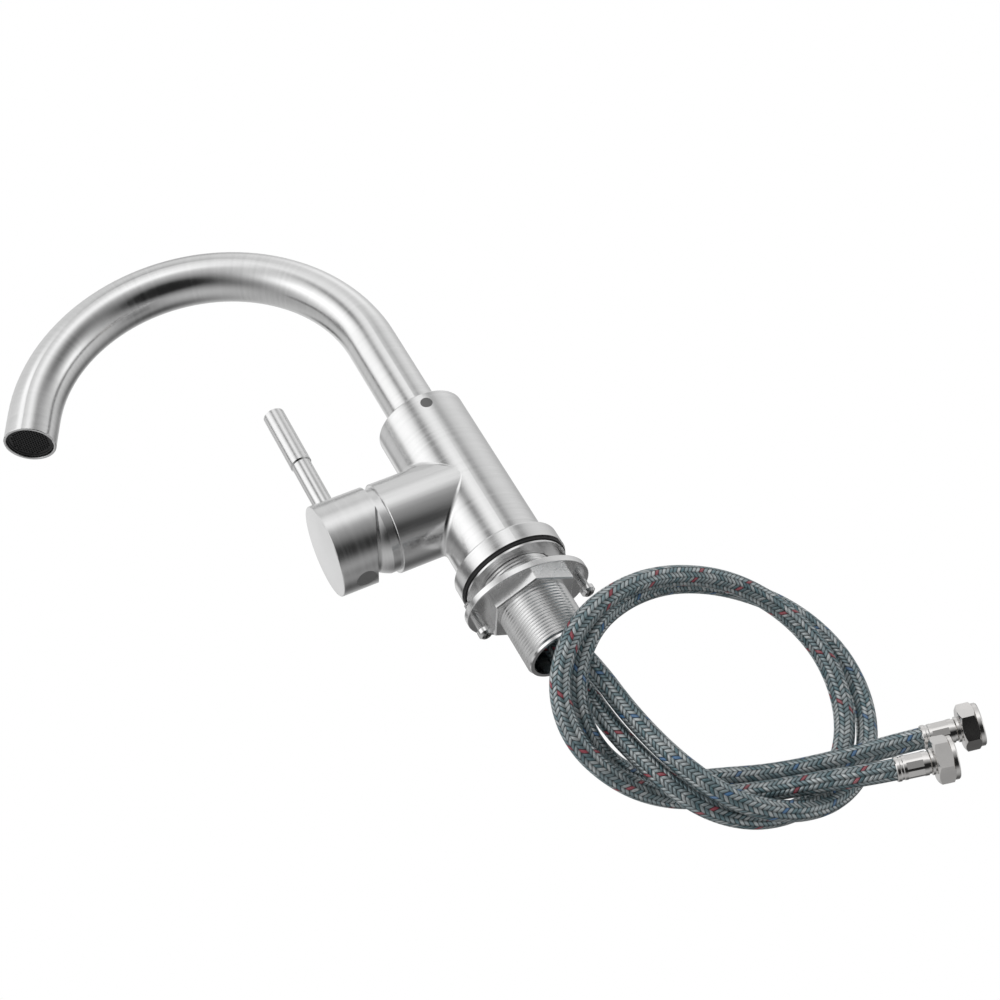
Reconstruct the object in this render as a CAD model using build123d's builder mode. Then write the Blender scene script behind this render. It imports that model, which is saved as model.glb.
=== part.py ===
from build123d import *
from math import cos, pi, radians, sin, sqrt, tan
import os

# Single-hole lavatory faucet: gooseneck spout, drum handle with an upright lever at the front,
# threaded shank with an off-set clamp nut below the deck, and two braided supply hoses.
# Millimetres, +Z up. The origin is the centre of the deck plane, under the gasket.
# The spout and the handle point to -Y at rest.

# Fits
fit = 0.05          # radial clearance of turned parts that slide together
gap = 0.05          # end gap between stacked parts
thread_gap = 0.05   # radial clearance of a screwed joint

# Body and base
gasket_t = 1.5
body_r = 21.0
body_top = 94.7
ring_r = 25.0
ring_top = 9.5
collar_r = 17.0     # socket of the shank in the body
collar_top = 16.0

# Handle axis, pointing to -Y
axis_z = 47.6
housing_r = 20.7
housing_end = 40.4
junction_r = 2.5    # fillet between the housing and the body
seat_y = 8.0        # flat seat under the cartridge
bore_r = 17.6       # 35 mm cartridge
cart_front = 34.5
nut_r = 18.6

# Waterways
port_x = 6.5
port_r = 5.0        # M10 hose ports
port_top = 27.0
inlet_r = 3.0
inlet_z = 42.6
outlet_r = 4.0
outlet_z = 55.6
riser_r = 2.6       # drilled up from each port into the inlet's run
outlet_riser_r = 3.6
run_back = 4.6      # the cross-drilled runs end this far behind the body axis

# Spout
chamber_r = 14.45
chamber_z = 72.0
tube_r = 12.0
tube_wall = 1.3
tube_foot = 76.0
bend_z = 148.3
bend_r = 82.4
bend_angle = 153.4
tip_len = 15.2
swivel = 5.3        # the spout's turn about Z at rest, towards -X
screw_z = 88.9
set_screw_r = 2.5   # M5
set_screw_end = 18.0
cap_r = 2.7         # cap that covers the screw
cap_t = 2.5
bushing_r = 14.4
groove_r = 12.9     # groove of the bushing that the set screw enters
groove_half = 2.1
screw_tip_r = 1.7
o_ring_places = (77.5, 82.0)
o_ring_t = 2.2
o_ring_seat_r = 13.0
aerator_r = 9.7
aerator_len = 13.0
aerator_recess = 1.0
comb_t = 3.0
cell_pitch = 1.3
cell_wall = 0.3

# Cartridge, distances from the body axis along the handle axis
pivot_y = 38.0      # tilt axis of the stem
lift_angle = 18.0
ball_r = 3.0
ball_y = 24.4
slide_rest = -2.1   # the moving disc starts this far below the axis
slide_r = 11.5
base_back = 8.5
disc_back = 13.0
disc_face = 17.0
carrier_back = 21.0
carrier_front = 26.6
turret_front = 31.4
neck_end = 44.0
neck_r = 8.9        # turret's neck
cup_bore_r = 16.1
seal_t = 2.0
seal_wall = 1.4
ball_neck_r = 2.2
square_start = 29.0
stem_side = 7.0
stem_end = 66.0
pin_r = 1.5
pin_len = 16.0
nut_bore_front = 14.0

# Handle
drum_r = 20.87
drum_in = 44.4
drum_out = 68.6
cut_low = 52.5      # lower end of the slanted rim
pocket_r = 20.6
dome_r = 20.2
collar_dome_r = 19.2
dome_wall = 1.5
dome_cut = 13.8     # the dome is cut open this far in front of the pivot
spigot_bore_r = 12.4
spigot_start = 36.5
pocket_end = 56.4
plug_y = 58.0
plug_r = 4.7
plug_seat = 17.6
grub_r = 2.0        # M4
grub_len = 6.0
lever_y = 58.8
lever_r = 4.5
lever_seat = 64.0
lever_foot = 58.2
lever_thread_r = 3.0
grip_r = 5.0
grip_z = 95.5
grip_hold = 20.0    # spigot of the rod inside the grip
lever_top = 127.6

# Gasket, shank, nut and clamp
gasket_r = 24.3
gasket_bore = 17.3
shank_r = 16.0
shank_root = 15.1
shank_bore = 13.5
shank_end = -43.2
shank_chamfer = 1.0
pitch = 1.5
washer_r = 23.8
washer_bore = 16.8
washer_top = -0.3
washer_t = 1.0
plate_top = -9.1
plate_t = 3.1
plate_long = 29.4
plate_short = 22.8
plate_turn = 98.0  # azimuth of the plate's long axis
hex_af = 36.7
hex_t = 5.1
jack_pcd_r = 26.2
jack_r = 2.0
jack_head_r = 3.2
jack_head_t = 3.0
front_tip = -5.7
rear_tip = -1.4
jack_len = 15.0

# Hoses
hose_d = 9.0
hose_bore_r = 2.7
ferrule_r = 5.05
ferrule_end = 4.4   # beyond the hose's end
stem_r = 4.2
stem_bore_r = 2.0
stem_hex_af = 10.0
tail_r = 4.6
tail_collar_r = 5.35
tail_neck_r = 4.0
flange_r = 5.8
crimp_in = 8.6      # hose inside each ferrule
end_ring_r = 5.2
nut_af = 17.2
nut_start = 7.3
nut_len = 8.8
nut_hex_len = 6.8   # the rest is a round lip
nut_lip_r = 9.0
nut_wall = 1.6
nut_bore_r = 6.6    # 3/8 in compression thread
nut_thread = 3.4
nut_relief_r = 7.0
hot_nut_turn = 16.0     # turn of each nut as it hangs
cold_nut_turn = 33.0

# Centre lines of the hoses, each a list of corners that arcs round off.
hot_route = [
    (-6.5, 0, -15), (-6.5, 0, -34), (-4.5, 1, -57), (-3, 2, -82.5), (-3.5, 8, -108), (-8.5, 19.5, -129),
    (-16, 39, -140), (-23.5, 63, -140.5), (-26, 86, -131), (-22, 101.5, -112.5), (-14.5, 106.5, -87.5),
    (-7, 100, -63.5), (4, 82, -45), (16.5, 56, -37.5), (27.5, 28.5, -39.5), (26, 2, -46.5),
    (16, -15, -63), (4.5, -18, -84), (-7.5, -6.5, -103), (-18, 12, -114.5), (-19.5, 32.5, -122),
    (-15, 51.5, -131), (-8, 69.5, -139), (-3.5, 87, -147), (0, 103.5, -152.5),
]
cold_route = [
    (6.5, 0, -15), (6.5, 0, -34), (4.5, 7, -56.5), (3.5, 9.5, -83.5), (3, 16, -111), (-2, 29.5, -134),
    (-10.5, 52, -146), (-19, 77, -145), (-24, 99, -132.5), (-24.5, 113.5, -109.5), (-20.5, 116, -83.5),
    (-15, 106, -58.5), (-6.5, 85, -41.5), (5, 59.5, -35), (14.5, 34.5, -37.5), (18.5, 11, -46),
    (11, -5.5, -61), (-1.5, -10, -79.5), (-15, -1.5, -95.5), (-24, 16, -105), (-23.5, 36.5, -112.5),
    (-19.5, 59, -123.5), (-12.5, 84, -132.5), (-9.5, 107.5, -137.5), (-5, 124.5, -143),
]


def front(distance, x=0, z=0):
    """Plane facing -Y at this distance from the body axis; its X is +X and its Y is +Z."""
    return Plane(origin=(x, -distance, axis_z + z), x_dir=(1, 0, 0), z_dir=(0, -1, 0))


def turn(frame, outline, mode=Mode.ADD):
    """Revolve a closed outline of (radius, height) points about the frame's Z axis."""
    section = Plane(origin=frame.origin, x_dir=frame.x_dir, z_dir=frame.x_dir.cross(frame.z_dir))
    with BuildSketch(section) as face:
        with BuildLine():
            Polyline(*outline, close=True)
        make_face()
    revolve(face.sketch, axis=Axis(frame.origin, frame.z_dir), mode=mode)


def ring(frame, r_out, r_in, low, high, mode=Mode.ADD):
    """Ring between two heights on the frame's Z axis, or a disc where r_in is 0."""
    turn(frame, [(r_in, low), (r_out, low), (r_out, high), (r_in, high)], mode)


def hexagon(frame, across_flats, low, high):
    """Hexagonal prism on the frame's Z axis, flats facing its X."""
    with BuildSketch(frame.offset(low)) as face:
        RegularPolygon(across_flats / 2, 6, major_radius=False, rotation=30)
    extrude(face.sketch, amount=high - low)


def hexagon_cut(frame, across_flats, depth):
    """Hexagonal socket sunk into the face at the frame."""
    with BuildSketch(frame) as face:
        RegularPolygon(across_flats / 2, 6, major_radius=False)
    extrude(face.sketch, amount=-depth, mode=Mode.SUBTRACT)


def keep(name, piece, place=None):
    """Label a finished piece and write its STEP file. A piece drawn at the origin goes to its place."""
    solid = piece.part if place is None else piece.part.moved(place.location)
    solid.label = name
    export_step(solid, f"parts/{name}.step")


os.makedirs("parts", exist_ok=True)
upright = Plane.XY
handle_axis = front(0)

# Body: an upright cylinder with the cartridge housing growing out of its front, the shank's
# socket below, the spout's chamber above and the three waterways between.
with BuildPart() as body:
    ring(upright, body_r, 0, gasket_t, body_top)
    fillet(body.edges().group_by(Axis.Z)[-1], 0.6)
    ring(handle_axis, housing_r, 0, 0, housing_end)
    fillet(body.edges().filter_by(GeomType.BSPLINE), junction_r)
    fillet(body.edges().group_by(Axis.Y)[0], 0.4)
    ring(upright, collar_r, 0, gasket_t, collar_top, Mode.SUBTRACT)
    ring(upright, chamber_r, 0, chamber_z, body_top, Mode.SUBTRACT)
    ring(handle_axis, bore_r, 0, seat_y, housing_end, Mode.SUBTRACT)
    ring(handle_axis, nut_r, 0, cart_front, housing_end, Mode.SUBTRACT)
    for side in (-1, 1):
        # Inlet: a threaded port from below, a riser, then a short run forward to the seat.
        port = Plane(origin=(side * port_x, 0, 0))
        ring(port, port_r, 0, collar_top, port_top, Mode.SUBTRACT)
        ring(port, riser_r, 0, port_top, inlet_z, Mode.SUBTRACT)
        ring(front(0, side * port_x, inlet_z - axis_z), inlet_r, 0, -run_back, seat_y, Mode.SUBTRACT)
    # Outlet: from the seat back to the axis, then up into the spout's chamber.
    ring(front(0, 0, outlet_z - axis_z), outlet_r, 0, -run_back, seat_y, Mode.SUBTRACT)
    ring(upright, outlet_riser_r, 0, outlet_z, chamber_z, Mode.SUBTRACT)
    # Threaded hole of the spout's set screw, on the +X side.
    screw_axis = Plane(origin=(0, 0, screw_z), x_dir=(0, 1, 0), z_dir=(1, 0, 0))
    ring(screw_axis, set_screw_r + thread_gap, 0, 0, body_r - 1, Mode.SUBTRACT)
    ring(screw_axis, cap_r + fit, 0, body_r - cap_t - gap, body_r + 1, Mode.SUBTRACT)
keep("body", body)

with BuildPart() as base_ring:
    ring(upright, ring_r, body_r + fit, gasket_t, ring_top)
    fillet(base_ring.edges().group_by(Axis.Z)[-1].sort_by(SortBy.RADIUS)[-1], 0.6)
keep("base_ring", base_ring)

with BuildPart() as deck_gasket:
    ring(upright, gasket_r, gasket_bore, 0, gasket_t - gap)
keep("deck_gasket", deck_gasket)

# Threaded shank: plain collar screwed into the body, ring-shaped thread crests below it.
with BuildPart() as shank:
    outline = [(shank_bore, collar_top - gap), (collar_r - thread_gap, collar_top - gap)]
    outline += [(collar_r - thread_gap, gasket_t + gap), (shank_root, gasket_t + gap)]
    crests = int((gasket_t - shank_end - shank_chamfer) / pitch)
    for count in range(crests):
        z = gasket_t - count * pitch
        outline += [(shank_r, z - 0.45 * pitch), (shank_r, z - 0.55 * pitch), (shank_root, z - pitch)]
    outline += [(shank_root, shank_end), (shank_bore, shank_end)]
    turn(upright, outline)
keep("shank", shank)

with BuildPart() as clamp_washer:
    ring(upright, washer_r, washer_bore, washer_top - washer_t, washer_top)
keep("clamp_washer", clamp_washer)

# Clamp nut: a long oval flange with the two jack screw holes, and a hexagon below it.
nut_frame = Plane(origin=(0, 0, plate_top - plate_t),
                  x_dir=(cos(radians(plate_turn)), sin(radians(plate_turn)), 0), z_dir=(0, 0, 1))
with BuildPart() as lock_nut:
    with BuildSketch(nut_frame):
        Ellipse(plate_long, plate_short)
    extrude(amount=plate_t)
    fillet(lock_nut.edges(), 0.35)
    with BuildSketch(Plane.XY.offset(plate_top - plate_t - hex_t)):
        RegularPolygon(hex_af / 2, 6, major_radius=False, rotation=0)
    extrude(amount=hex_t)
    chamfer(lock_nut.edges().group_by(Axis.Z)[0], 0.5)
    ring(upright, shank_r + fit, 0, plate_top - plate_t - hex_t, plate_top, Mode.SUBTRACT)
    for side in (-1, 1):
        hole = Plane(origin=nut_frame.origin + nut_frame.x_dir * side * jack_pcd_r)
        ring(hole, jack_r + fit, 0, -hex_t, plate_t, Mode.SUBTRACT)
keep("lock_nut", lock_nut)

# Jack screws: pan heads with a cross recess, below; they push the clamp washer up.
for name, side, tip in (("jack_screw_front", -1, front_tip), ("jack_screw_rear", 1, rear_tip)):
    place = nut_frame.x_dir * side * jack_pcd_r
    axis = Plane(origin=(place.X, place.Y, tip), x_dir=nut_frame.x_dir, z_dir=(0, 0, -1))
    with BuildPart() as jack_screw:
        head = jack_len + jack_head_t
        turn(axis, [(0, 0), (jack_r - 0.5, 0), (jack_r, 0.5), (jack_r, jack_len),
                    (jack_head_r, jack_len), (jack_head_r, head - 1.0), (jack_head_r - 1.0, head), (0, head)])
        with BuildSketch(axis.offset(head)) as cross:
            Rectangle(4.0, 0.9)
            Rectangle(0.9, 4.0)
        extrude(cross.sketch, amount=-1.8, mode=Mode.SUBTRACT)
    keep(name, jack_screw)

# Cartridge: base with its seals, two ceramic discs, the carrier that slides the front one,
# the turret that turns both, all inside a cup that a ring nut holds in the housing.
port_places = [(-port_x, inlet_z - axis_z, inlet_r), (port_x, inlet_z - axis_z, inlet_r)]
port_places += [(0, outlet_z - axis_z, outlet_r)]

with BuildPart() as cartridge_base:
    ring(handle_axis, bore_r - fit, 0, base_back, disc_back)
    for x, z, radius in port_places:
        ring(front(0, x, z), radius, 0, seat_y, disc_back, Mode.SUBTRACT)
        ring(front(0, x, z), radius + seal_wall + fit, 0, seat_y, seat_y + seal_t, Mode.SUBTRACT)
keep("cartridge_base", cartridge_base)

with BuildPart() as cartridge_seals:
    for x, z, radius in port_places:
        ring(front(0, x, z), radius + seal_wall, radius + fit, seat_y + gap, seat_y + seal_t - gap)
keep("cartridge_seals", cartridge_seals)

with BuildPart() as cartridge_cup:
    turn(handle_axis, [(bore_r - fit, disc_back + gap), (bore_r - fit, cart_front - gap),
                       (neck_r + fit, cart_front - gap), (neck_r + fit, turret_front + gap),
                       (cup_bore_r, turret_front + gap), (cup_bore_r, disc_back + gap)])
keep("cartridge_cup", cartridge_cup)

with BuildPart() as fixed_disc:
    ring(handle_axis, cup_bore_r - fit, 0, disc_back + gap, disc_face)
    for x, z, radius in port_places:
        ring(front(0, x, z), radius - 0.4, 0, disc_back, disc_face, Mode.SUBTRACT)
keep("fixed_disc", fixed_disc)

slide_axis = front(0, 0, slide_rest)
with BuildPart() as moving_disc:
    ring(slide_axis, slide_r, 0, disc_face + gap, carrier_back - gap)
    with BuildSketch(front(disc_face + gap, 0, slide_rest)):
        Ellipse(slide_r - 3, slide_r - 4)
    extrude(amount=1.5, mode=Mode.SUBTRACT)
    fillet(moving_disc.edges().group_by(Axis.Y)[0], 0.3)
keep("moving_disc", moving_disc)

with BuildPart() as disc_carrier:
    ring(slide_axis, slide_r, 0, carrier_back, carrier_front)
    ring(handle_axis, ball_r + 0.1, 0, carrier_back, carrier_front, Mode.SUBTRACT)
    fillet(disc_carrier.edges().group_by(Axis.Y)[0], 0.3)
keep("disc_carrier", disc_carrier)

# The turret's slot widens both ways from the pivot, so that the stem can tilt in it.
rise = tan(radians(lift_angle))
with BuildPart() as cartridge_turret:
    turn(handle_axis, [(0, carrier_front + 0.3), (cup_bore_r - 0.1, carrier_front + 0.3),
                       (cup_bore_r - 0.1, turret_front), (neck_r, turret_front), (neck_r, neck_end),
                       (0, neck_end)])
    with BuildSketch(Plane.YZ.offset(-stem_side / 2 - 0.15)):
        with BuildLine():
            half = stem_side / 2 + 0.5
            inner = pivot_y - carrier_front
            outer = neck_end - pivot_y
            Polyline((-carrier_front, axis_z - half), (-pivot_y, axis_z - half),
                     (-neck_end, axis_z - half - outer * rise), (-neck_end, axis_z + half),
                     (-pivot_y, axis_z + half), (-carrier_front, axis_z + half + inner * rise), close=True)
        make_face()
    extrude(amount=stem_side + 0.3, mode=Mode.SUBTRACT)
    pin_axis = Plane(origin=(0, -pivot_y, axis_z), x_dir=(0, 1, 0), z_dir=(1, 0, 0))
    ring(pin_axis, pin_r + fit, 0, -pin_len / 2, pin_len / 2, Mode.SUBTRACT)
keep("cartridge_turret", cartridge_turret)

with BuildPart() as stem_pin:
    ring(pin_axis, pin_r, 0, -pin_len / 2 + gap, pin_len / 2 - gap)
keep("stem_pin", stem_pin)

# Stem: a ball that moves the carrier, a thin neck, and the square that the handle sits on.
with BuildPart() as cartridge_stem:
    with BuildSketch(front(square_start)):
        Rectangle(stem_side, stem_side)
    extrude(amount=stem_end - square_start)
    chamfer(cartridge_stem.edges().group_by(Axis.Y)[0], 0.5)
    ring(handle_axis, ball_neck_r, 0, ball_y, square_start)
    turn(handle_axis, [(0, ball_y - ball_r)]
         + [(ball_r * sin(pi * step / 12), ball_y - ball_r * cos(pi * step / 12)) for step in range(1, 12)]
         + [(0, ball_y + ball_r)])
    ring(pin_axis, pin_r + fit, 0, -stem_side, stem_side, Mode.SUBTRACT)
keep("cartridge_stem", cartridge_stem)

with BuildPart() as cartridge_nut:
    turn(handle_axis, [(nut_bore_front, cart_front + gap), (nut_r - thread_gap, cart_front + gap),
                       (nut_r - thread_gap, housing_end - 0.3), (nut_bore_front, housing_end - 0.3)])
    for angle in range(0, 360, 90):
        # Slots for the nut's key.
        with BuildSketch(front(housing_end - 0.3)) as slot:
            with PolarLocations(nut_bore_front, 1, start_angle=angle):
                Rectangle(3.0, 3.0)
        extrude(slot.sketch, amount=-1.5, mode=Mode.SUBTRACT)
keep("cartridge_nut", cartridge_nut)

# Bonnet: a collar on the housing's end and a dome round the tilt pivot, open at the front,
# held by a spigot inside the ring nut.
dome_in = dome_r - dome_wall
web = housing_end + 1.2


def on_sphere(radius, distance):
    """Point of the dome's section this far in front of the pivot."""
    return (sqrt(radius ** 2 - distance ** 2), -pivot_y - distance)


with BuildPart() as bonnet:
    with BuildSketch(Plane.XY.offset(axis_z)) as face:
        with BuildLine():
            start = on_sphere(dome_r, sqrt(dome_r ** 2 - collar_dome_r ** 2))
            rim = on_sphere(dome_r, dome_cut)
            inner_rim = on_sphere(dome_in, dome_cut)
            foot = on_sphere(dome_in, web - pivot_y)
            ThreePointArc(start, on_sphere(dome_r, 10), rim)
            Line(rim, inner_rim)
            ThreePointArc(inner_rim, on_sphere(dome_in, 9), foot)
            Polyline(foot, (foot[0], -housing_end - gap), (collar_dome_r, -housing_end - gap), start)
        make_face()
    revolve(face.sketch, axis=Axis(handle_axis.origin, (0, 1, 0)))
    ring(handle_axis, foot[0] + 0.1, spigot_bore_r, housing_end + gap, web)
    ring(handle_axis, nut_bore_front - thread_gap, spigot_bore_r, spigot_start, web)
keep("bonnet", bonnet)

# Handle drum: square ends, the lower half of its rim cut back at a slant so that it can tilt,
# and a pocket round the same centre as the dome.
with BuildPart() as handle_drum:
    ring(handle_axis, drum_r, 0, drum_in, drum_out)
    fillet(handle_drum.edges().group_by(Axis.Y)[0], 0.4)
    with BuildSketch(Plane.YZ.offset(-drum_r)) as wedge:
        with BuildLine():
            Polyline((-drum_in, axis_z), (-cut_low, axis_z - drum_r), (-cut_low, axis_z - 2 * drum_r),
                     (0, axis_z - 2 * drum_r), (0, axis_z), close=True)
        make_face()
    extrude(wedge.sketch, amount=2 * drum_r, mode=Mode.SUBTRACT)
    with Locations((0, -pivot_y, axis_z)):
        Sphere(pocket_r, mode=Mode.SUBTRACT)
    ring(handle_axis, sqrt(pocket_r ** 2 - (pocket_end - pivot_y) ** 2) + 0.1, 0, pocket_end, plug_y + 1)
    with BuildSketch(front(pocket_end)) as socket:
        Rectangle(stem_side + 2 * fit, stem_side + 2 * fit)
    extrude(socket.sketch, amount=stem_end + 0.2 - pocket_end, mode=Mode.SUBTRACT)
    lever_axis = Plane(origin=(0, -lever_y, 0))
    ring(lever_axis, lever_r + fit, 0, lever_seat, axis_z + drum_r, Mode.SUBTRACT)
    ring(lever_axis, lever_thread_r + thread_gap, 0, lever_foot - 0.2, lever_seat, Mode.SUBTRACT)
    plug_axis = Plane(origin=(0, -plug_y, axis_z), x_dir=(1, 0, 0), z_dir=(0, 0, -1))
    ring(plug_axis, grub_r + thread_gap, 0, 0, drum_r, Mode.SUBTRACT)
    ring(plug_axis, plug_r, 0, plug_seat, drum_r, Mode.SUBTRACT)
keep("handle_drum", handle_drum)

with BuildPart() as handle_grub_screw:
    low = stem_side / 2 + gap
    ring(plug_axis, grub_r, 0, low, low + grub_len)
    hexagon_cut(plug_axis.offset(low + grub_len), 2.0, 2.0)
keep("handle_grub_screw", handle_grub_screw)

with BuildPart() as handle_plug:
    ring(handle_axis, drum_r, 0, plug_y - plug_r, plug_y + plug_r)
    ring(plug_axis, plug_r - fit, 0, plug_seat + gap, drum_r, Mode.INTERSECT)
keep("handle_plug", handle_plug)

with BuildPart() as lever_rod:
    turn(lever_axis, [(0, lever_foot), (lever_thread_r, lever_foot), (lever_thread_r, lever_seat + gap),
                      (lever_r, lever_seat + gap), (lever_r, grip_z - gap), (lever_thread_r, grip_z - gap),
                      (lever_thread_r, grip_z + grip_hold), (0, grip_z + grip_hold)])
keep("lever_rod", lever_rod)

with BuildPart() as lever_grip:
    bore = lever_thread_r + thread_gap
    depth = grip_z + grip_hold + 0.3
    turn(lever_axis, [(bore, grip_z), (grip_r - 0.7, grip_z), (grip_r, grip_z + 0.7),
                      (grip_r, lever_top - 0.3),
                      (grip_r - 0.3, lever_top), (0, lever_top), (0, depth), (bore, depth)])
keep("lever_grip", lever_grip)

# Spout: a gooseneck tube in an upright plane, which the swivel turns about Z.
out = Vector(-sin(radians(swivel)), -cos(radians(swivel)), 0)
up = Vector(0, 0, 1)
bend = radians(bend_angle)
spout_plane = Plane(origin=(0, 0, 0), x_dir=out, z_dir=out.cross(up))
bend_end = (bend_r * (1 - cos(bend)), bend_z + bend_r * sin(bend))
tip_end = (bend_end[0] + tip_len * sin(bend), bend_end[1] + tip_len * cos(bend))
tip_origin = out * tip_end[0] + up * tip_end[1]
tip = Plane(origin=tip_origin, x_dir=spout_plane.z_dir, z_dir=out * sin(bend) + up * cos(bend))

with BuildLine(spout_plane) as spout_path:
    Line((0, tube_foot), (0, bend_z))
    JernArc((0, bend_z), (0, 1), bend_r, -bend_angle)
    Line(bend_end, tip_end)

with BuildPart() as spout_tube:
    with BuildSketch(Plane.XY.offset(tube_foot)) as section:
        Circle(tube_r)
        Circle(tube_r - tube_wall, mode=Mode.SUBTRACT)
    sweep(section.sketch, path=spout_path.line)
    fillet(spout_tube.edges().filter_by(GeomType.CIRCLE).sort_by_distance(tip_origin)[0:2], 0.4)
keep("spout_tube", spout_tube)

# Bushing soldered on the tube: it turns in the body, and its top closes the gap round the tube.
with BuildPart() as spout_bushing:
    inner = tube_r + fit
    lip = tube_r - tube_wall
    outline = [(lip, tube_foot - 2), (bushing_r, tube_foot - 2)]
    for z in o_ring_places:
        outline += [(bushing_r, z), (o_ring_seat_r, z), (o_ring_seat_r, z + o_ring_t),
                    (bushing_r, z + o_ring_t)]
    outline += [(bushing_r, screw_z - groove_half), (groove_r, screw_z - groove_half)]
    outline += [(groove_r, screw_z + groove_half), (bushing_r, screw_z + groove_half)]
    outline += [(bushing_r, body_top - 0.3), (inner, body_top - 0.3), (inner, tube_foot - gap),
                (lip, tube_foot - gap)]
    turn(upright, outline)
keep("spout_bushing", spout_bushing)

with BuildPart() as spout_o_rings:
    for z in o_ring_places:
        ring(upright, bushing_r, o_ring_seat_r + fit, z + gap, z + o_ring_t - gap)
keep("spout_o_rings", spout_o_rings)

with BuildPart() as spout_set_screw:
    turn(screw_axis, [(0, groove_r + 0.3), (screw_tip_r, groove_r + 0.3), (screw_tip_r, chamber_r + 0.3),
                      (set_screw_r, chamber_r + 0.9), (set_screw_r, set_screw_end), (0, set_screw_end)])
    hexagon_cut(screw_axis.offset(set_screw_end), 2.5, 2.0)
keep("spout_set_screw", spout_set_screw)

with BuildPart() as set_screw_cap:
    ring(screw_axis, cap_r, 0, body_r - cap_t, body_r + 1)
    ring(upright, body_r - 0.02, 0, screw_z - 2 * cap_r, screw_z + 2 * cap_r, Mode.INTERSECT)
keep("set_screw_cap", set_screw_cap)

# Aerator, just inside the spout's mouth: shell, honeycomb, screen and sealing ring.
with BuildPart() as aerator_shell:
    shell_r = tube_r - tube_wall - fit
    turn(tip, [(aerator_r, -aerator_len), (shell_r, -aerator_len), (shell_r, -aerator_recess - 0.7),
               (shell_r - 0.35, -aerator_recess), (aerator_r + 0.2, -aerator_recess),
               (aerator_r, -aerator_recess - 0.2)])
keep("aerator_shell", aerator_shell)

with BuildPart() as aerator_honeycomb:
    cells = []
    rows = int(aerator_r / cell_pitch) + 1
    for row in range(-rows, rows + 1):
        for column in range(-rows, rows + 1):
            x = (column + row % 2 / 2) * cell_pitch
            y = row * cell_pitch * sqrt(3) / 2
            if sqrt(x * x + y * y) < aerator_r - cell_pitch * 0.7:
                cells.append((x, y))
    with BuildSketch(tip.offset(-aerator_recess - 0.6)) as comb:
        Circle(aerator_r - fit)
        with Locations(*cells):
            RegularPolygon((cell_pitch - cell_wall) / 2, 6, major_radius=False, rotation=30,
                           mode=Mode.SUBTRACT)
    extrude(comb.sketch, amount=-comb_t)
keep("aerator_honeycomb", aerator_honeycomb)

with BuildPart() as aerator_screen:
    with BuildSketch(tip.offset(-aerator_len + 2)) as mesh:
        Circle(aerator_r - fit)
        for radius, count in ((0.1, 1), (3, 6), (6, 12)):
            with PolarLocations(radius, count):
                Circle(1.0, mode=Mode.SUBTRACT)
    extrude(mesh.sketch, amount=0.6)
keep("aerator_screen", aerator_screen)

with BuildPart() as aerator_gasket:
    ring(tip, tube_r - tube_wall - fit, aerator_r - 1, -aerator_len - 1.6, -aerator_len - gap)
keep("aerator_gasket", aerator_gasket)

# Supply hoses. Each starts in a crimped ferrule inside the shank and ends in one behind its nut.


def corner_radii(route):
    """Radius of the arc at each inner point, as large as its two runs allow."""
    radii = []
    for before, point, after in zip(route, route[1:], route[2:]):
        run_in = Vector(point) - Vector(before)
        run_out = Vector(after) - Vector(point)
        half_turn = radians(run_in.get_angle(run_out)) / 2
        radii.append(0.45 * min(run_in.length, run_out.length) / tan(half_turn))
    return radii


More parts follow.
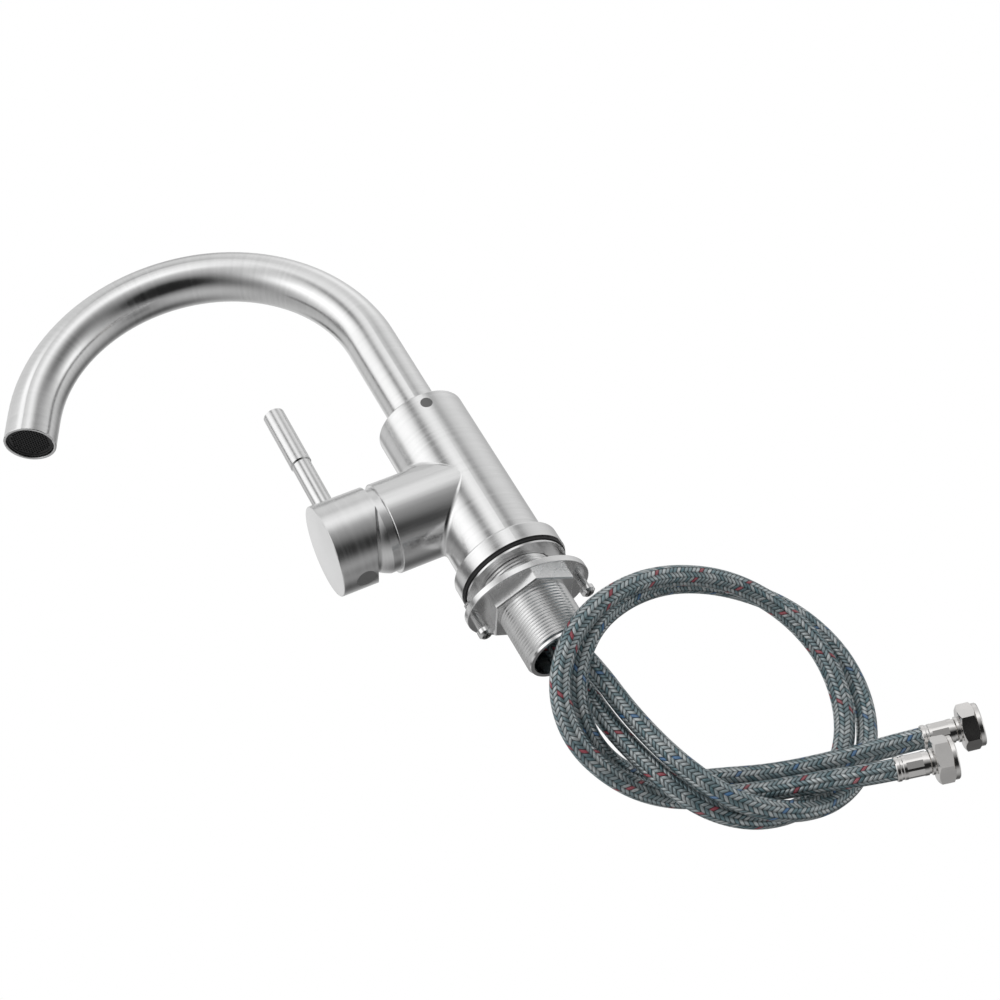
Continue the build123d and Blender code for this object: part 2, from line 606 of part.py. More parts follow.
hose_r = hose_d / 2
centre_lines = {}
for side, name, route, roll in ((-1, "hot", hot_route, hot_nut_turn), (1, "cold", cold_route, cold_nut_turn)):
    radii = corner_radii(route)
    with BuildLine() as centre_line:
        FilletPolyline(*route, radius=radii)
    path = centre_line.wire()
    centre_lines[name] = path
    with BuildPart() as hose:
        with BuildSketch(Plane(origin=route[0], z_dir=(0, 0, -1))) as section:
            Circle(hose_r)
            Circle(hose_bore_r, mode=Mode.SUBTRACT)
        sweep(section.sketch, path=path)
    keep(f"{name}_hose", hose)
    wall = pi * (hose_r ** 2 - hose_bore_r ** 2)
    print(name, "radii", [round(radius) for radius in radii])
    print(name, "length", round(path.length, 1), "volume over section times length",
          round(hose.part.volume / (wall * path.length), 4))

    # Upper end: the crimp ferrule and the threaded stem that screws into the body's port.
    top = Plane(origin=route[0])
    with BuildPart() as inner_ferrule:
        turn(top, [(hose_r + fit, -crimp_in), (ferrule_r, -crimp_in), (ferrule_r, 1.2), (hose_bore_r, 1.2),
                   (hose_bore_r, gap), (hose_r + fit, gap)])
    keep(f"{name}_inner_ferrule", inner_ferrule)
    port = Plane(origin=(side * port_x, 0, 0))
    with BuildPart() as inlet_stem:
        barb_r = hose_bore_r - fit
        shoulder = route[0][2] + 1.2 + gap
        turn(port, [(stem_bore_r, route[0][2] - crimp_in), (barb_r, route[0][2] - crimp_in),
                    (barb_r, shoulder),
                    (stem_r, shoulder), (stem_r, collar_top + gap), (port_r - thread_gap, collar_top + gap),
                    (port_r - thread_gap, port_top - 1.5), (stem_bore_r, port_top - 1.5)])
        with BuildSketch(port) as flats:
            RegularPolygon(stem_hex_af / 2, 6, major_radius=False, rotation=30)
            Circle(stem_r - 0.2, mode=Mode.SUBTRACT)
        extrude(flats.sketch, amount=5)
    keep(f"{name}_inlet_stem", inlet_stem)

    # Lower end, drawn at the origin: ferrule with a rolled ring, tailpiece, cone washer, union nut.
    end = Plane(origin=route[-1], x_dir=(1, 0, 0), z_dir=Vector(route[-1]) - Vector(route[-2]))
    with BuildPart() as end_ferrule:
        turn(upright, [(hose_r + fit, -crimp_in), (end_ring_r - 0.3, -crimp_in), (end_ring_r, 0.4 - crimp_in),
                       (end_ring_r, 1.6 - crimp_in), (end_ring_r - 0.3, 2.0 - crimp_in),
                       (ferrule_r - 0.25, 2.0 - crimp_in),
                       (ferrule_r - 0.25, 2.9 - crimp_in), (ferrule_r, 3.2 - crimp_in),
                       (ferrule_r, ferrule_end),
                       (hose_bore_r, ferrule_end), (hose_bore_r, gap), (hose_r + fit, gap)])
        with BuildSketch(upright.offset(4.4 - crimp_in)) as crimp:
            Circle(ferrule_r + 1)
            RegularPolygon(ferrule_r - 0.2, 8, major_radius=False, mode=Mode.SUBTRACT)
        extrude(crimp.sketch, amount=crimp_in + ferrule_end - 6.2, mode=Mode.SUBTRACT)
    keep(f"{name}_end_ferrule", end_ferrule, end)
    with BuildPart() as tailpiece:
        turn(upright, [(stem_bore_r, -crimp_in), (barb_r, -crimp_in), (barb_r, ferrule_end + gap),
                       (tail_r, ferrule_end + gap), (tail_r, nut_start - 1.9),
                       (tail_collar_r, nut_start - 1.5),
                       (tail_collar_r, nut_start - 0.4), (tail_neck_r, nut_start - 0.4),
                       (tail_neck_r, nut_start + nut_wall + 0.2), (flange_r, nut_start + nut_wall + 0.2),
                       (flange_r, nut_start + nut_wall + 1.4), (stem_bore_r, nut_start + nut_wall + 1.4)])
    keep(f"{name}_tailpiece", tailpiece, end)
    with BuildPart() as cone_washer:
        base = nut_start + nut_wall + 1.4 + gap
        turn(upright, [(stem_bore_r + 0.6, base), (flange_r + 0.3, base), (flange_r + 0.3, base + 0.6),
                       (stem_bore_r + 1.8, base + 1.7), (stem_bore_r + 0.6, base + 1.7)])
    keep(f"{name}_cone_washer", cone_washer, end)
    with BuildPart() as hose_nut:
        hex_top = nut_start + nut_hex_len
        nut_end = nut_start + nut_len
        hexagon(upright.rotated((0, 0, roll)), nut_af, nut_start, hex_top)
        corner = nut_af / sqrt(3)
        turn(upright, [(0, nut_start), (corner - 1.6, nut_start), (corner + 0.8, nut_start + 1.5),
                       (corner + 0.8, hex_top - 1.4), (corner - 1.2, hex_top), (0, hex_top)], Mode.INTERSECT)
        turn(upright, [(0, hex_top), (nut_lip_r, hex_top), (nut_lip_r, nut_end - 0.5),
                       (nut_lip_r - 0.5, nut_end),
                       (0, nut_end)])
        ring(upright, tail_neck_r + 0.1, 0, nut_start, nut_start + nut_wall, Mode.SUBTRACT)
        ring(upright, nut_relief_r, 0, nut_start + nut_wall, nut_end - nut_thread, Mode.SUBTRACT)
        ring(upright, nut_bore_r, 0, nut_end - nut_thread, nut_end, Mode.SUBTRACT)
    keep(f"{name}_hose_nut", hose_nut, end)

with BuildPart() as inlet_seals:
    for side in (-1, 1):
        ring(Plane(origin=(side * port_x, 0, 0)), port_r - 0.2, inlet_r, port_top - 1.5 + gap, port_top - gap)
keep("inlet_seals", inlet_seals)


def least_gap(first, second, apart):
    """Least gap between two centre lines' tubes, leaving out points nearer than apart along one."""
    step = 3.0
    best = 1000.0
    points = []
    for line in (first, second):
        count = int(line.length / step)
        points.append([line.position_at(index / count) for index in range(count + 1)])
    for i, one in enumerate(points[0]):
        for j, other in enumerate(points[1]):
            if abs(i - j) * step >= apart:
                best = min(best, (one - other).length - hose_d)
    return best


print("gap of hot hose to itself", round(least_gap(centre_lines["hot"], centre_lines["hot"], 40), 2))
print("gap of cold hose to itself", round(least_gap(centre_lines["cold"], centre_lines["cold"], 40), 2))
print("gap between the hoses", round(least_gap(centre_lines["hot"], centre_lines["cold"], 0), 2))
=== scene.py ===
import math

import bpy
import numpy as np
from mathutils import Matrix


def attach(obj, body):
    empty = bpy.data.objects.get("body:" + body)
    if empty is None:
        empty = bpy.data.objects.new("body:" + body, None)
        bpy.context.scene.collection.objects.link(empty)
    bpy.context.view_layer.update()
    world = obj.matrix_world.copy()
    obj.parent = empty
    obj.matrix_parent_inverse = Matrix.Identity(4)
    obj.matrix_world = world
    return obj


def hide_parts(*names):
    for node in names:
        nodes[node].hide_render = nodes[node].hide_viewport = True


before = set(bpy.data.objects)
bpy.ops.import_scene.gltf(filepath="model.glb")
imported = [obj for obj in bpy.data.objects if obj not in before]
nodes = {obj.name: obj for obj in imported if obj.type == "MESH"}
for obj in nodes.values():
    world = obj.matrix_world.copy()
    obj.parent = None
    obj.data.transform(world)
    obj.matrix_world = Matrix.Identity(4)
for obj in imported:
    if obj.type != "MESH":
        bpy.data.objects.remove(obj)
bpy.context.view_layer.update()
MM = 0.001

# The camera looks up at the faucet from below and behind the deck plane, rolled to its right.
camera_right = (0.032082, 0.890589, -0.453676)
camera_up = (0.60138, 0.345351, 0.720469)
camera_back = (0.798319, -0.295946, -0.524503)
camera_place = (0.665068, -0.233881, -0.397095)


def make_camera():
    """Camera at the photograph's viewing angle; lens and sensor in millimetres."""
    data = bpy.data.cameras.new("camera")
    data.sensor_width = 36.0
    data.lens = 67.582
    data.clip_end = 20.0
    camera = bpy.data.objects.new("camera", data)
    bpy.context.scene.collection.objects.link(camera)
    turn = Matrix((camera_right, camera_up, camera_back)).transposed().to_4x4()
    camera.matrix_world = Matrix.Translation(camera_place) @ turn
    bpy.context.scene.camera = camera


make_camera()


# Node helpers
class Nodes:
    """A node tree with short calls to add and join its nodes."""

    def __init__(self, tree):
        self.tree = tree

    def add(self, kind, **settings):
        node = self.tree.nodes.new(kind)
        for key, value in settings.items():
            setattr(node, key, value)
        return node

    def join(self, value, socket):
        """Join an output to an input, or set a number or colour on the input."""
        if hasattr(value, "is_output"):
            self.tree.links.new(value, socket)
        else:
            socket.default_value = value

    def math(self, operation, a, b=0.0, c=0.0):
        node = self.add("ShaderNodeMath", operation=operation)
        for value, socket in zip((a, b, c), node.inputs):
            self.join(value, socket)
        return node.outputs[0]

    def vector(self, operation, a, b=(0.0, 0.0, 0.0), scale=1.0):
        node = self.add("ShaderNodeVectorMath", operation=operation)
        self.join(a, node.inputs[0])
        if operation == "SCALE":
            self.join(scale, node.inputs["Scale"])
        else:
            self.join(b, node.inputs[1])
        return node.outputs["Value" if operation == "DOT_PRODUCT" else "Vector"]

    def mapped(self, source, scale):
        node = self.add("ShaderNodeMapping")
        self.join(source, node.inputs["Vector"])
        node.inputs["Scale"].default_value = scale
        return node.outputs[0]

    def noise(self, vector, scale, detail=2.0, roughness=0.5):
        node = self.add("ShaderNodeTexNoise")
        self.join(vector, node.inputs["Vector"])
        node.inputs["Scale"].default_value = scale
        node.inputs["Detail"].default_value = detail
        node.inputs["Roughness"].default_value = roughness
        return node.outputs["Fac"]

    def remap(self, value, low, high, to_low, to_high):
        node = self.add("ShaderNodeMapRange")
        self.join(value, node.inputs[0])
        for socket, number in zip(list(node.inputs)[1:5], (low, high, to_low, to_high)):
            socket.default_value = number
        return node.outputs[0]

    def mix(self, share, a, b):
        """Colour a where the share is 0, b where it is 1."""
        node = self.add("ShaderNodeMix", data_type="RGBA")
        self.join(share, node.inputs[0])
        self.join(a, node.inputs[6])
        self.join(b, node.inputs[7])
        return node.outputs[2]


class Finish(Nodes):
    """A new material, with calls for its place, its bump and its shader's values."""

    def __init__(self, name):
        self.material = bpy.data.materials.new(name)
        self.material.use_nodes = True
        super().__init__(self.material.node_tree)
        self.shader = self.tree.nodes["Principled BSDF"]

    def place(self):
        return self.add("ShaderNodeTexCoord").outputs["Object"]

    def cloudy(self, cloud, middle, swing):
        """A value that drifts by swing to each side of its middle with a noise."""
        return self.remap(cloud, 0.3, 0.7, middle - swing, middle + swing)

    def bump(self, height, strength, distance):
        node = self.add("ShaderNodeBump")
        node.inputs["Strength"].default_value = strength
        node.inputs["Distance"].default_value = distance
        self.join(height, node.inputs["Height"])
        self.join(node.outputs[0], self.shader.inputs["Normal"])

    def set(self, **values):
        for key, value in values.items():
            self.join(value, self.shader.inputs[key.replace("_", " ")])
        return self.material


def grey(level, warm=0.0):
    """Opaque grey, a little warmer for a positive second number."""
    return (level * (1 + warm), level, level * (1 - warm), 1.0)


def turned_metal(name, along, level, rough, warm=0.0, line=1500.0, depth=0.00001, reads=None):
    """Metal brushed round an axis: fine lines that vary along that axis and hardly round it. reads
    makes the coordinates from the Object ones where the axis isn't straight."""
    spread = 0.05
    n = Finish(name)
    coordinates = n.place()
    if reads is not None:
        coordinates = reads(n, coordinates)
    fine = tuple(line if letter == along else line * 0.02 for letter in "xyz")
    coarse = tuple(line * 0.22 if letter == along else line * 0.006 for letter in "xyz")
    lines = n.noise(n.mapped(coordinates, fine), 1.0, 3.0, 0.6)
    broad = n.noise(n.mapped(coordinates, coarse), 1.0, 2.0, 0.5)
    cloud = n.noise(coordinates, 35.0, 2.0, 0.5)
    shade = n.math("ADD", n.remap(lines, 0.3, 0.7, -0.5, 0.5), n.remap(broad, 0.3, 0.7, -0.5, 0.5))
    n.bump(n.math("ADD", lines, n.math("MULTIPLY", broad, 0.6)), 0.5, depth)
    darker, lighter = grey(level * 0.93, warm), grey(level * 1.05, warm)
    colour = n.mix(n.remap(shade, -1.0, 1.0, 0.0, 1.0), darker, lighter)
    roughness = n.math("ADD", n.cloudy(cloud, rough, spread * 0.5), n.math("MULTIPLY", shade, spread))
    return n.set(Base_Color=colour, Metallic=1.0, Roughness=roughness)


# The gooseneck's upright ends at bend_z and its bend's radius is bend_r, turned from -Y by swivel.
bend_z, bend_r, swivel = 148.3 * MM, 82.4 * MM, math.radians(5.3)


def along_spout(n, place):
    """Coordinates whose Z runs along the gooseneck: the height on its upright part, and on its
    bend the bend's radius times the angle round the bend's centre."""
    parts = n.add("ShaderNodeSeparateXYZ")
    n.join(place, parts.inputs[0])
    forward = n.vector("DOT_PRODUCT", place, (-math.sin(swivel), -math.cos(swivel), 0.0))
    above = n.math("SUBTRACT", parts.outputs[2], bend_z)
    angle = n.math("ARCTAN2", above, n.math("SUBTRACT", bend_r, forward))
    upright = n.math("LESS_THAN", above, 0.0)
    round_bend = n.math("MULTIPLY", n.math("MULTIPLY", angle, bend_r), n.math("SUBTRACT", 1.0, upright))
    run = n.math("ADD", n.math("MULTIPLY", above, upright), round_bend)
    out = n.add("ShaderNodeCombineXYZ")
    for value, socket in zip((parts.outputs[0], forward, run), out.inputs):
        n.join(value, socket)
    return out.outputs[0]


def cast_metal(name, level, rough, warm=0.0, grain=900.0, depth=0.00002):
    """Die-cast or tumbled metal: small grain and cloudy roughness."""
    n = Finish(name)
    coordinates = n.place()
    small = n.noise(coordinates, grain, 3.0, 0.6)
    cloud = n.noise(coordinates, 60.0, 3.0, 0.6)
    n.bump(small, 0.4, depth)
    darker, lighter = grey(level * 0.9, warm), grey(level * 1.06, warm)
    colour = n.mix(n.remap(cloud, 0.3, 0.7, 0.0, 1.0), darker, lighter)
    return n.set(Base_Color=colour, Metallic=1.0, Roughness=n.cloudy(cloud, rough, 0.05))


def threaded_metal(name, foot, level=0.8, rough=0.22, pitch=0.7 * MM):
    """Steel screw along Z: a rounded V groove every pitch, above the head, which ends at foot."""
    n = Finish(name)
    coordinates = n.place()
    parts = n.add("ShaderNodeSeparateXYZ")
    n.join(coordinates, parts.inputs[0])
    height = parts.outputs[2]
    ridge = n.math("ABSOLUTE", n.math("SINE", n.math("MULTIPLY", height, math.pi / pitch)))
    on_shaft = n.math("GREATER_THAN", height, foot)
    thread = n.math("MULTIPLY", ridge, on_shaft)
    n.bump(thread, 1.0, pitch * 0.5)
    cloud = n.noise(coordinates, 400.0, 2.0, 0.5)
    # Painted shade: the thread's grooves are coloured darker, down to 0.35 of the steel's level at each
    # groove's bottom; the head keeps the plain level.
    colour = n.mix(n.remap(thread, 0.0, 0.6, 0.0, 1.0), grey(level * 0.35), grey(level))
    colour = n.mix(on_shaft, grey(level), colour)
    return n.set(Base_Color=colour, Metallic=1.0, Roughness=n.cloudy(cloud, rough, 0.05))


def moulded(name, colour, rough):
    """Rubber or plastic with a fine moulded grain."""
    n = Finish(name)
    coordinates = n.place()
    grain = n.noise(coordinates, 700.0, 3.0, 0.6)
    cloud = n.noise(coordinates, 50.0, 2.0, 0.5)
    n.bump(grain, 0.3, 0.00001)
    darker = tuple(part * 0.85 for part in colour[:3]) + (1.0,)
    return n.set(Base_Color=n.mix(cloud, darker, colour), Roughness=n.cloudy(grain, rough, 0.06))


def give(material, *names):
    """Put one material on whole CAD nodes."""
    for name in names:
        data = nodes[name].data
        data.materials.clear()
        data.materials.append(material)


nickel = dict(level=0.78, rough=0.2, line=2500.0, depth=0.0000012)
brushed_up = turned_metal("nickel_brushed_round_z", "z", **nickel)
brushed_front = turned_metal("nickel_brushed_round_y", "y", **nickel)
brushed_spout = turned_metal("nickel_brushed_round_spout", "z", reads=along_spout, **nickel)
thread_steel = turned_metal("thread_steel", "z", 0.85, 0.2, depth=0.000002)
washer_steel = cast_metal("washer_steel", 0.75, 0.2, depth=0.000004)
cast_zinc = cast_metal("cast_zinc", 0.85, 0.27, depth=0.00001)
screw_steel = cast_metal("screw_steel", 0.6, 0.25)
front_jack_steel = threaded_metal("front_jack_steel", -20.7 * MM)
rear_jack_steel = threaded_metal("rear_jack_steel", -16.4 * MM)
polished = cast_metal("polished_nickel", 0.72, 0.12, 0.02, 500.0, 0.000004)
brass = turned_metal("machined_brass", "z", 0.6, 0.25, 0.15)
black_rubber = moulded("black_rubber", (0.012, 0.012, 0.013, 1.0), 0.6)
black_plastic = moulded("black_plastic", (0.02, 0.02, 0.021, 1.0), 0.45)
white_plastic = moulded("white_plastic", (0.75, 0.75, 0.72, 1.0), 0.4)
ceramic = moulded("lapped_ceramic", (0.85, 0.84, 0.8, 1.0), 0.15)
grey_plastic = moulded("grey_plastic", (0.16, 0.16, 0.16, 1.0), 0.4)

give(brushed_up, "body", "base_ring", "lever_rod", "lever_grip")
give(brushed_spout, "spout_tube")
give(brushed_front, "handle_drum", "bonnet")
give(thread_steel, "shank")
give(washer_steel, "clamp_washer")
give(cast_zinc, "lock_nut")
give(front_jack_steel, "jack_screw_front")
give(rear_jack_steel, "jack_screw_rear")
give(screw_steel, "spout_set_screw", "handle_grub_screw", "stem_pin",
     "cartridge_stem", "aerator_screen")
give(polished, "hot_end_ferrule", "cold_end_ferrule", "hot_tailpiece", "cold_tailpiece", "hot_hose_nut",
     "cold_hose_nut", "hot_inner_ferrule", "cold_inner_ferrule")
give(brass, "spout_bushing", "cartridge_nut", "hot_inlet_stem", "cold_inlet_stem")
give(black_rubber, "deck_gasket", "cartridge_seals", "inlet_seals", "spout_o_rings", "aerator_gasket",
     "hot_cone_washer", "cold_cone_washer")
give(black_plastic, "cartridge_base", "aerator_shell", "aerator_honeycomb")
give(white_plastic, "cartridge_cup", "cartridge_turret", "disc_carrier")
give(ceramic, "fixed_disc", "moving_disc")
give(grey_plastic, "handle_plug", "set_screw_cap")


# Surfaces
def tube(name, rings, material, body, along, turned):
    """Mesh of rings of points, rings by points by 3, joined into quads, each ring closed. along
    gives each ring's u, and turned the v of each point round it, with one more where it closes."""
    count, sides = rings.shape[:2]
    i, j = np.meshgrid(np.arange(count - 1), np.arange(sides), indexing="ij")
    first, second = i * sides, (i + 1) * sides
    left, right = j, (j + 1) % sides
    faces = np.stack([first + left, first + right, second + right, second + left], -1)
    mesh = bpy.data.meshes.new(name)
    mesh.from_pydata(rings.reshape(-1, 3), [], faces.reshape(-1, 4))
    u = np.stack([along[i], along[i], along[i + 1], along[i + 1]], -1)
    v = np.stack([turned[j], turned[j + 1], turned[j + 1], turned[j]], -1)
    layer = mesh.uv_layers.new(name="UVMap")
    layer.data.foreach_set("uv", np.stack([u, v], -1).astype(np.float32).ravel())
    mesh.polygons.foreach_set("use_smooth", np.ones(len(mesh.polygons), bool))
    mesh.materials.append(material)
    mesh.validate()
    piece = bpy.data.objects.new(name, mesh)
    bpy.context.scene.collection.objects.link(piece)
    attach(piece, body)
    return piece


def carried_frames(path):
    """Two directions across a path at each of its points, turned as little as can be from one
    point to the next: the tangent is the central difference, and each direction is the one
    before it less its part along the new tangent."""
    tangents = np.gradient(path, axis=0)
    tangents /= np.linalg.norm(tangents, axis=1)[:, None]
    across = np.zeros_like(path)
    first = np.cross(tangents[0], (0.0, 1.0, 0.0))
    for index, tangent in enumerate(tangents):
        first = first - tangent * first.dot(tangent)
        first /= np.linalg.norm(first)
        across[index] = first
    return across, np.cross(tangents, across)


# Supply hoses: their routes' points are in millimetres.
hose_d = 9.0 * MM
ring_spacing = 1.2 * MM
ring_sides = 24
steps_per_point = 16
hot_route = [
    (-6.5, 0, -15), (-6.5, 0, -34), (-4.5, 1, -57), (-3, 2, -82.5), (-3.5, 8, -108), (-8.5, 19.5, -129),
    (-16, 39, -140), (-23.5, 63, -140.5), (-26, 86, -131), (-22, 101.5, -112.5), (-14.5, 106.5, -87.5),
    (-7, 100, -63.5), (4, 82, -45), (16.5, 56, -37.5), (27.5, 28.5, -39.5), (26, 2, -46.5),
    (16, -15, -63), (4.5, -18, -84), (-7.5, -6.5, -103), (-18, 12, -114.5), (-19.5, 32.5, -122),
    (-15, 51.5, -131), (-8, 69.5, -139), (-3.5, 87, -147), (0, 103.5, -152.5),
]
cold_route = [
    (6.5, 0, -15), (6.5, 0, -34), (4.5, 7, -56.5), (3.5, 9.5, -83.5), (3, 16, -111), (-2, 29.5, -134),
    (-10.5, 52, -146), (-19, 77, -145), (-24, 99, -132.5), (-24.5, 113.5, -109.5), (-20.5, 116, -83.5),
    (-15, 106, -58.5), (-6.5, 85, -41.5), (5, 59.5, -35), (14.5, 34.5, -37.5), (18.5, 11, -46),
    (11, -5.5, -61), (-1.5, -10, -79.5), (-15, -1.5, -95.5), (-24, 16, -105), (-23.5, 36.5, -112.5),
    (-19.5, 59, -123.5), (-12.5, 84, -132.5), (-9.5, 107.5, -137.5), (-5, 124.5, -143),
]


def smooth_line(name, route):
    """Points read from the NURBS spline that has the route's points as its control points."""
    curve = bpy.data.curves.new(name, "CURVE")
    curve.dimensions = "3D"
    spline = curve.splines.new("NURBS")
    spline.points.add(len(route) - 1)
    for point, place in zip(spline.points, route):
        point.co = [value * MM for value in place] + [1.0]
    spline.order_u = 3
    spline.use_endpoint_u = True
    curve.resolution_u = steps_per_point
    holder = bpy.data.objects.new(name, curve)
    mesh = bpy.data.meshes.new_from_object(holder)
    points = np.zeros(len(mesh.vertices) * 3)
    mesh.vertices.foreach_get("co", points)
    bpy.data.objects.remove(holder)
    bpy.data.curves.remove(curve)
    bpy.data.meshes.remove(mesh)
    return points.reshape(-1, 3)


def evenly(points, spacing):
    """Points at even distances along a line of points."""
    runs = np.linalg.norm(np.diff(points, axis=0), axis=1)
    distance = np.concatenate([[0.0], np.cumsum(runs)])
    count = int(distance[-1] / spacing) + 1
    wanted = np.linspace(0.0, distance[-1], count)
    return np.stack([np.interp(wanted, distance, points[:, axis]) for axis in range(3)], 1), wanted


columns_round = 12      # herringbone columns, half of them slanting each way
strand_pitch = 2.0      # mm along the hose, between strands of one direction
strand_lean = 1.18      # a column's width over the strand's pitch
wires = 4.0             # in each strand
# Near black painted into the braid's gaps as painted shade.
painted_gap_shade = (0.006, 0.009, 0.01, 1)
wire_dark, wire_light = (0.15, 0.24, 0.27, 1), (0.62, 0.66, 0.67, 1)
tracer_red, tracer_blue = (0.34, 0.015, 0.035, 1), (0.04, 0.15, 0.34, 1)


def braid(name, tracer):
    """Herringbone braid on the hose's UV map, u millimetres along and v turns round: columns of
    slanting strands, each column slanting the other way. A strand climbs one pitch a column, so
    its number, floor of its place plus or less the column's number, stays the same all along it;
    one strand in the columns that slant one way is the coloured tracer."""
    n = Finish(name)
    uv = n.add("ShaderNodeSeparateXYZ")
    n.join(n.add("ShaderNodeUVMap", uv_map="UVMap").outputs[0], uv.inputs[0])
    along, turned = uv.outputs[0], uv.outputs[1]
    across = n.math("MULTIPLY", turned, float(columns_round))
    column = n.math("FLOOR", across)
    inside = n.math("SUBTRACT", across, column)
    odd = n.math("MODULO", column, 2.0)
    slant = n.math("SUBTRACT", 1.0, n.math("MULTIPLY", odd, 2.0))
    place = n.math("ADD", n.math("MULTIPLY", along, 1 / strand_pitch), n.math("MULTIPLY", slant, inside))
    order = n.math("FLOOR", place)
    within = n.math("SUBTRACT", place, order)
    strand = n.math("ADD", order, n.math("MULTIPLY", slant, column))
    number = n.math("FLOORED_MODULO", strand, float(columns_round))
    # A strand is a flat row of round wires that dives under its neighbours at the column's edges.
    crown = n.math("POWER", n.math("SINE", n.math("MULTIPLY", within, math.pi)), 0.5)
    arch = n.math("SINE", n.math("MULTIPLY", inside, math.pi))
    wire = n.math("ABSOLUTE", n.math("SINE", n.math("MULTIPLY", within, math.pi * wires)))
    height = n.math("MULTIPLY", crown, n.math("ADD", 0.5, n.math("MULTIPLY", arch, 0.5)))
    height = n.math("ADD", height, n.math("MULTIPLY", wire, 0.12))
    cell = n.add("ShaderNodeCombineXYZ")
    n.join(column, cell.inputs[0])
    n.join(order, cell.inputs[1])
    chance = n.add("ShaderNodeTexWhiteNoise", noise_dimensions="2D")
    n.join(cell.outputs[0], chance.inputs["Vector"])
    tint = n.mix(chance.outputs["Value"], wire_dark, wire_light)
    is_tracer = n.math("MULTIPLY", n.math("SUBTRACT", 1.0, odd), n.math("LESS_THAN", number, 0.5))
    strokes = n.math("MULTIPLY", is_tracer, n.remap(wire, 0.15, 0.6, 0.25, 1.0))
    tint = n.mix(strokes, tint, tracer)
    # Painted shade: the colour goes to near black where the braid's height is low: in the gaps between
    # strands, where a strand dives under its neighbours at the column's edges, and a little between
    # wires.
    colour = n.mix(n.remap(height, 0.25, 0.85, 0.0, 1.0), painted_gap_shade, tint)
    # The brush direction of the metal follows the wires.
    tangent = n.add("ShaderNodeTangent", direction_type="UV_MAP", uv_map="UVMap").outputs[0]
    outward = n.add("ShaderNodeNewGeometry").outputs["Normal"]
    sideways = n.vector("CROSS_PRODUCT", outward, tangent)
    lean = n.vector("SCALE", sideways, scale=n.math("MULTIPLY", slant, -strand_lean))
    n.join(n.vector("ADD", tangent, lean), n.shader.inputs["Tangent"])
    n.bump(height, 0.9, 0.0005)
    metallic = n.math("MULTIPLY", n.math("SUBTRACT", 1.0, is_tracer), 0.75)
    return n.set(Base_Color=colour, Metallic=metallic, Roughness=0.33, Anisotropic=0.75)


def make_hose(name, route, tracer):
    """Hose: circles of the hose's radius round the smooth line, each point the line's plus the
    radius times the cosine and sine of its angle along the two directions across the line."""
    path, distance = evenly(smooth_line(name, route), ring_spacing)
    side, other = carried_frames(path)
    turns = np.linspace(0.0, 1.0, ring_sides + 1)
    angle = 2 * math.pi * turns[:-1]
    rings = (path[:, None] + hose_d / 2 * (np.cos(angle)[None, :, None] * side[:, None]
                                          + np.sin(angle)[None, :, None] * other[:, None]))
    return tube(name, rings, braid(name + "_braid", tracer), "base", distance / MM, turns), path


for side, route, tracer, reach in (("hot", hot_route, tracer_red, 0.577),
                                   ("cold", cold_route, tracer_blue, 0.594)):
    piece, path = make_hose(side + "_braided_hose", route, tracer)
    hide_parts(side + "_hose")


# Light, floor and backdrop
def heading(azimuth, height):
    """Unit direction from an azimuth, turning from +X to +Y, and an angle of elevation, in degrees."""
    azimuth, height = math.radians(azimuth), math.radians(height)
    return (math.cos(height) * math.cos(azimuth), math.cos(height) * math.sin(azimuth), math.sin(height))


def softbox(name, azimuth, height, distance, wide, tall, brightness):
    """Rectangular lamp facing the origin, which metal doesn't mirror. Its power is its brightness
    times its area times pi."""
    data = bpy.data.lights.new(name, "AREA")
    data.shape = "RECTANGLE"
    data.size, data.size_y, data.energy = wide, tall, brightness * wide * tall * math.pi
    lamp = bpy.data.objects.new(name, data)
    lamp.visible_glossy = False
    bpy.context.scene.collection.objects.link(lamp)
    back = np.array(heading(azimuth, height))
    right = np.cross((0.0, 0.0, 1.0), back)
    right /= np.linalg.norm(right)
    turn = Matrix((right, np.cross(back, right), back)).transposed().to_4x4()
    lamp.matrix_world = Matrix.Translation(back * distance) @ turn


# What metal sees of the studio: its level, and the azimuth, elevation, change of level and
# sharpness of each soft patch. Nothing that metal sees is darker than the least level.
studio_level, least_level = 0.745, 0.02
fill_level = 0.45       # what lights everything but metal
studio = [
    (-7, -50, -0.93, 5.0),
    (168, -27, -0.63, 5.0),
    (-108, -8, -0.29, 5.0),
    (-60, 24, 0.7, 12.0),
    (35, 0, -0.5, 12.0),
    (134, 10, -0.46, 12.0),
    (-73, -36, -0.26, 12.0),
    (8, 28, 0.48, 30.0),
    (130, -65, -0.32, 30.0),
    (73, -21, 0.68, 30.0),
    (-50, 0, 0.54, 30.0),
    (80, 52, 0.38, 30.0),
    (-21, 33, -0.69, 80.0),
    (36, 30, -0.38, 80.0),
    (-97, 27, -0.88, 80.0),
    (-149, 27, -0.72, 80.0),
    (-1, 14, 0.54, 80.0),
    (-25, 52, 0.69, 80.0),
    (-83, 39, 0.31, 80.0),
    (3, 55, -0.5, 80.0),
    (25, 46, 0.2, 80.0),
    (138, 70, -0.34, 80.0),
    (-163, 33, 0.25, 80.0),
]


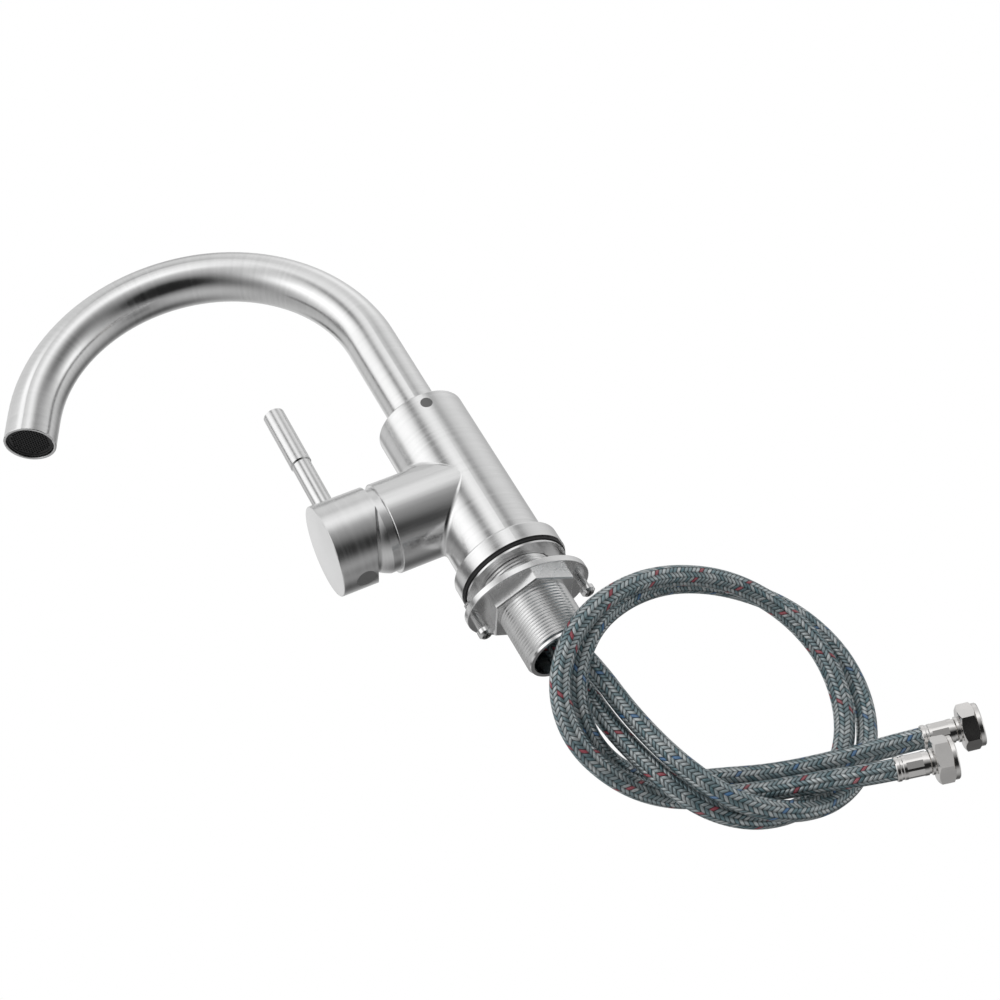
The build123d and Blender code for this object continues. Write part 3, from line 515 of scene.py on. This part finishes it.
def make_stage():
    """Pale floor under the hanging faucet, which metal looks through to the studio, and a world
    that is white to the camera, uneven to metal, and even to everything else."""
    size, height = 3.0, -0.46
    corners = [(-size, -size, height), (size, -size, height), (size, size, height), (-size, size, height)]
    mesh = bpy.data.meshes.new("floor")
    mesh.from_pydata(corners, [], [(0, 1, 2, 3)])
    n = Finish("floor_paint")
    mesh.materials.append(n.set(Base_Color=(0.8, 0.8, 0.8, 1), Roughness=0.9))
    clear = n.add("ShaderNodeBsdfTransparent")
    either = n.add("ShaderNodeMixShader")
    n.join(n.add("ShaderNodeLightPath").outputs["Is Glossy Ray"], either.inputs[0])
    n.join(n.shader.outputs[0], either.inputs[1])
    n.join(clear.outputs[0], either.inputs[2])
    n.join(either.outputs[0], n.tree.nodes["Material Output"].inputs["Surface"])
    floor = bpy.data.objects.new("floor", mesh)
    bpy.context.scene.collection.objects.link(floor)
    world = bpy.data.worlds.new("world")
    bpy.context.scene.world = world
    world.use_nodes = True
    w = Nodes(world.node_tree)
    ray = w.add("ShaderNodeLightPath")
    direction = w.add("ShaderNodeTexCoord").outputs["Generated"]
    level = studio_level
    for azimuth, height, change, sharp in studio:
        toward = w.vector("DOT_PRODUCT", direction, heading(azimuth, height))
        lobe = w.math("EXPONENT", w.math("MULTIPLY", w.math("SUBTRACT", toward, 1.0), sharp))
        level = w.math("ADD", level, w.math("MULTIPLY", lobe, change))
    seen = w.math("MAXIMUM", ray.outputs["Is Camera Ray"], ray.outputs["Is Transmission Ray"])
    glossy = ray.outputs["Is Glossy Ray"]
    mirrored = w.math("MAXIMUM", level, least_level)
    change = w.math("MULTIPLY", glossy, w.math("SUBTRACT", mirrored, fill_level))
    other = w.math("ADD", fill_level, change)
    strength = w.math("ADD", other, w.math("MULTIPLY", seen, w.math("SUBTRACT", 1.0, other)))
    background = w.tree.nodes["Background"]
    background.inputs["Color"].default_value = (1, 1, 1, 1)
    w.join(strength, background.inputs["Strength"])


make_stage()
bpy.context.scene.view_settings.view_transform = "Standard"
softbox("softbox_left", -63, 15, 1.6, 1.5, 2.0, 1.5)
softbox("softbox_high", 5, 26, 1.6, 0.6, 0.9, 1.2)
softbox("softbox_right", 77, -6, 1.6, 0.6, 1.5, 1.1)
